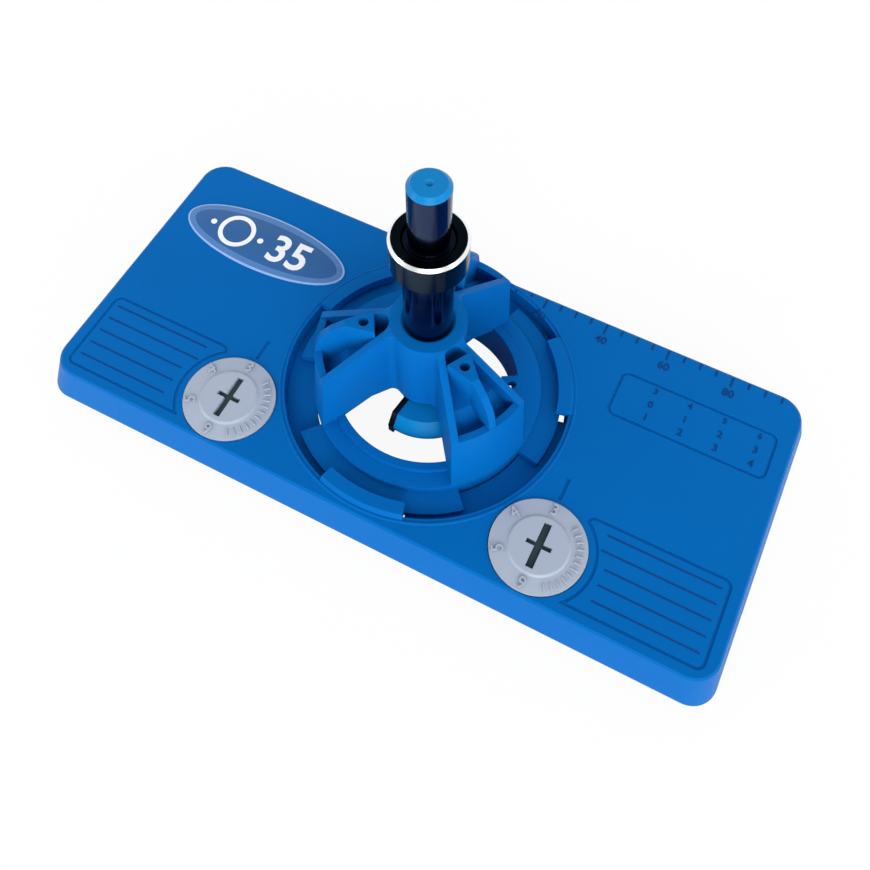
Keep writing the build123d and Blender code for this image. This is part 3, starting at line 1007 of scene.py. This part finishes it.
@dataclass
class SetbackDial:
    """One setback dial with its numbers, and the cam, washer and screw under it, in millimetres and degrees.

    Attributes:
        side: Side of the plate that it is on.
        finishes: The jig's finishes.
        numbers: Numbers on the dial and the angle of each.
        face_rise: Height of the dial's outer face over the plate's top.
        mark_radius: Radius on which the numbers and ticks stand.
        mark_sink: How far they are sunk into the face.
        number_height: Height of a number.
        number_depth: Thickness of a number.
        tick_size: Length and width of a tick.
        tick_depth: Thickness of a tick.
        tick_edge: Radius of its upper edge.
        tick_span: Angles of the first and the last tick.
        tick_step: Angle from one tick to the next.
        slot: X and Y size of the slot's two bars, before its turn by 90 degrees.
        slot_floor: Height over the plate's top of the slot's floor, where the sheet of painted shade lies.
        slot_depth: Thickness of that sheet.
        slot_edge: Radius of its upper edge.
    """

    side: Side
    finishes: Finishes
    numbers: dict[str, float] = field(default_factory=lambda: {"3": 90, "4": 150, "5": 210, "6": 270})
    face_rise: float = 1.0
    mark_radius: float = 11.15
    mark_sink: float = 0.1
    number_height: float = 3.5
    number_depth: float = 0.5
    tick_size: tuple[float, float] = (2.2, 0.5)
    tick_depth: float = 0.45
    tick_edge: float = 0.1
    tick_span: tuple[int, int] = (-60, 50)
    tick_step: int = 10
    slot: tuple[Place, Place] = ((13.3, 2.0), (1.3, 7.1))
    slot_floor: float = 0.2
    slot_depth: float = 0.1
    slot_edge: float = 0.02

    def build(self) -> None:
        """Dresses the dial and what is under it, builds its marks and lays painted shade on its slot's floor.
        """
        name = self.side.value
        body = Body(f"dial_{name}")
        centre = centre_of(f"setback_dial_{name}")
        dress(f"setback_dial_{name}", self.finishes.pale)
        self.build_marks(body, centre)
        self.build_slot_floor(body, centre)
        dress(f"setback_cam_{name}", self.finishes.pale)
        dress(f"spring_washer_{name}", self.finishes.zinc)
        dress(f"cam_screw_{name}", self.finishes.zinc)

    def build_marks(self, body: Body, centre: Place) -> None:
        """Raised numbers on one half of the dial's ring and plain ticks on the other.

        Args:
            body: The dial's body.
            centre: X and Y of the dial's axis.
        """
        foot = PLATE_TOP + self.face_rise - self.mark_sink
        marks = Sheaf()
        for number, angle in self.numbers.items():
            figure = lettering(number, self.number_height, self.number_depth)
            marks.add(placed(figure, self.on_ring(centre, angle), foot, angle - 90))
        first, last = self.tick_span
        for angle in range(first, last + 1, self.tick_step):
            tick = slab(stadium(*self.tick_size), 0, self.tick_depth, self.tick_edge)
            marks.add(placed(tick, self.on_ring(centre, angle), foot, angle))
        publish(marks.make(f"dial_marks_{self.side.value}", self.finishes.pale), body, Slot.PALE_PLASTIC)

    def build_slot_floor(self, body: Body, centre: Place) -> None:
        """Sheet of painted shade on the floor of the dial's cross slot.

        Args:
            body: The dial's body.
            centre: X and Y of the dial's axis.
        """
        floor = Sheaf()
        shape = slab(cross(*self.slot), 0, self.slot_depth, self.slot_edge)
        floor.add(placed(shape, centre, PLATE_TOP + self.slot_floor, 90))
        piece = floor.make(f"dial_slot_painted_shade_{self.side.value}", self.finishes.shade)
        publish(piece, body, Slot.PALE_PLASTIC)

    def on_ring(self, centre: Place, angle: float) -> Place:
        """Place on the ring of marks round a centre, at an angle in degrees."""
        turn = math.radians(angle)
        return centre[0] + self.mark_radius * math.cos(turn), centre[1] + self.mark_radius * math.sin(turn)


@dataclass
class Studio:
    """Pale floor, soft light and the camera.

    Attributes:
        camera_place: The camera's place in millimetres.
        camera_turn: Its turns about X, Y and Z in degrees.
        lens: Focal length in millimetres on the sensor.
        sensor: Width of the sensor in millimetres.
        sight: Nearest and farthest distance that the camera sees, in metres.
        floor_half: Half the floor's side in millimetres.
        floor_drop: How far the floor lies under the jig in millimetres.
        floor_colour: The floor's own colour.
        floor_white: Share of plain white in the floor as the camera sees it; the rest keeps the shadow.
        world_strength: Brightness of the surroundings on matt surfaces.
        wall_strength: Brightness of the surroundings' wall in reflections.
        ceiling_strength: Brightness of their ceiling in reflections.
        ceiling_heights: Heights of a reflection's aim at which the wall ends and the ceiling begins.
        light_tilt: Tilt of every light from straight down, in degrees.
        main_strength: Strength of the main light.
        main_turn: Its turn about Z in degrees.
        main_width: Its width in degrees as the jig sees it.
        edge_strength: Strength of the two narrow side lights.
        edge_turns: Their turns about Z in degrees.
        edge_width: Their width in degrees.
    """

    camera_place: tuple[float, float, float] = (47.128, -94.404, 213.919)
    camera_turn: tuple[float, float, float] = (24.143, -0.687, 26.688)
    lens: float = 31.503
    sensor: float = 36.0
    sight: tuple[float, float] = (0.005, 20.0)
    floor_half: float = 3000.0
    floor_drop: float = 0.05
    floor_colour: str = "#F4F5F7"
    floor_white: float = 0.93
    world_strength: float = 0.8
    wall_strength: float = 1.0
    ceiling_strength: float = 0.15
    ceiling_heights: tuple[float, float] = (0.45, 0.75)
    light_tilt: float = 72.0
    main_strength: float = 2.3
    main_turn: float = 30.0
    main_width: float = 50.0
    edge_strength: float = 0.35
    edge_turns: tuple[float, float] = (-49.0, 85.0)
    edge_width: float = 12.0

    def build(self) -> None:
        """Builds the floor, the surroundings, the lights and the camera."""
        self.build_floor()
        self.build_world()
        self.build_lights()
        self.build_camera()

    def build_floor(self) -> None:
        """Wide pale floor just under the jig, which shows nearly white and keeps the jig's shadow."""
        half = self.floor_half
        corners = np.array([[-half, -half, 0], [half, -half, 0], [half, half, 0], [-half, half, 0]])
        floor = Sheaf()
        floor.add((corners - [0, 0, self.floor_drop], [[0, 1, 2, 3]]))
        material, tree, shader, _ = new_shader("studio_floor")
        shader.inputs["Base Color"].default_value = linear(self.floor_colour)
        shader.inputs["Roughness"].default_value = 0.9
        shader.inputs["Specular IOR Level"].default_value = 0.0
        path = add_node(tree, "ShaderNodeLightPath")
        share = add_node(
            tree,
            "ShaderNodeMath",
            {"operation": "MULTIPLY", 1: self.floor_white},
            {0: path.outputs["Is Camera Ray"]},
        )
        white = add_node(tree, "ShaderNodeEmission", {"Color": (1, 1, 1, 1), "Strength": 1.0})
        mixed = add_node(
            tree,
            "ShaderNodeMixShader",
            None,
            {0: share.outputs[0], 1: shader.outputs[0], 2: white.outputs[0]},
        )
        tree.links.new(mixed.outputs[0], tree.nodes["Material Output"].inputs["Surface"])
        floor.make("floor", material)

    def build_world(self) -> None:
        """White surroundings, softer on matt surfaces; reflections see a white wall under a dark ceiling."""
        world = bpy.data.worlds.new("studio")
        bpy.context.scene.world = world
        world.use_nodes = True
        tree = world.node_tree
        back = tree.nodes["Background"]
        path = add_node(tree, "ShaderNodeLightPath")
        seen = add_node(
            tree,
            "ShaderNodeMath",
            {"operation": "MAXIMUM"},
            {0: path.outputs["Is Camera Ray"], 1: path.outputs["Is Transmission Ray"]},
        )
        aim = add_node(tree, "ShaderNodeTexCoord").outputs["Generated"]
        height = add_node(tree, "ShaderNodeSeparateXYZ", None, {"Vector": aim}).outputs["Z"]
        wall_end, ceiling_start = self.ceiling_heights
        mirrored = add_node(
            tree,
            "ShaderNodeMapRange",
            {
                "From Min": wall_end,
                "From Max": ceiling_start,
                "To Min": self.wall_strength,
                "To Max": self.ceiling_strength,
            },
            {"Value": height},
        )
        unseen = add_node(
            tree,
            "ShaderNodeMix",
            {2: self.world_strength},
            {0: path.outputs["Is Glossy Ray"], 3: mirrored.outputs[0]},
        )
        strength = add_node(tree, "ShaderNodeMix", {3: 1.0}, {0: seen.outputs[0], 2: unseen.outputs[0]})
        back.inputs["Color"].default_value = (1, 1, 1, 1)
        tree.links.new(strength.outputs[0], back.inputs["Strength"])

    def build_lights(self) -> None:
        """One broad main light, low from the front, and a narrow one on each side that streaks the metal."""
        self.add_light("main_light", self.main_strength, self.main_width, self.main_turn)
        for number, turn in enumerate(self.edge_turns):
            self.add_light(f"edge_light_{number}", self.edge_strength, self.edge_width, turn)

    def add_light(self, name: str, strength: float, width: float, turn: float) -> None:
        """Adds one distant light.

        Args:
            name: The light's name.
            strength: Its strength.
            width: Its width in degrees as the jig sees it.
            turn: Its turn about Z in degrees.
        """
        light = bpy.data.lights.new(name, "SUN")
        light.energy = strength
        light.angle = math.radians(width)
        holder = bpy.data.objects.new(name, light)
        holder.rotation_euler = Euler((math.radians(self.light_tilt), 0, math.radians(turn)))
        bpy.context.scene.collection.objects.link(holder)

    def build_camera(self) -> None:
        """Camera at the photograph's viewing angle, with everything in focus."""
        camera = bpy.data.cameras.new("camera")
        camera.sensor_width = self.sensor
        camera.lens = self.lens
        camera.clip_start, camera.clip_end = self.sight
        camera.dof.use_dof = False
        holder = bpy.data.objects.new("camera", camera)
        holder.location = [value * MM for value in self.camera_place]
        holder.rotation_euler = Euler([math.radians(value) for value in self.camera_turn])
        bpy.context.scene.collection.objects.link(holder)
        bpy.context.scene.camera = holder


def main() -> None:
    """Builds the jig and its studio."""
    logging.basicConfig(level=logging.INFO, format="%(message)s")
    bpy.context.scene.view_settings.view_transform = "Standard"
    finishes = Finishes.make()
    PlateMoulding(finishes).build()
    Badge(finishes).build()
    DrillGuide(finishes).build()
    for side in Side:
        SetbackDial(side, finishes).build()
    Studio().build()


if __name__ == "__main__":
    main()
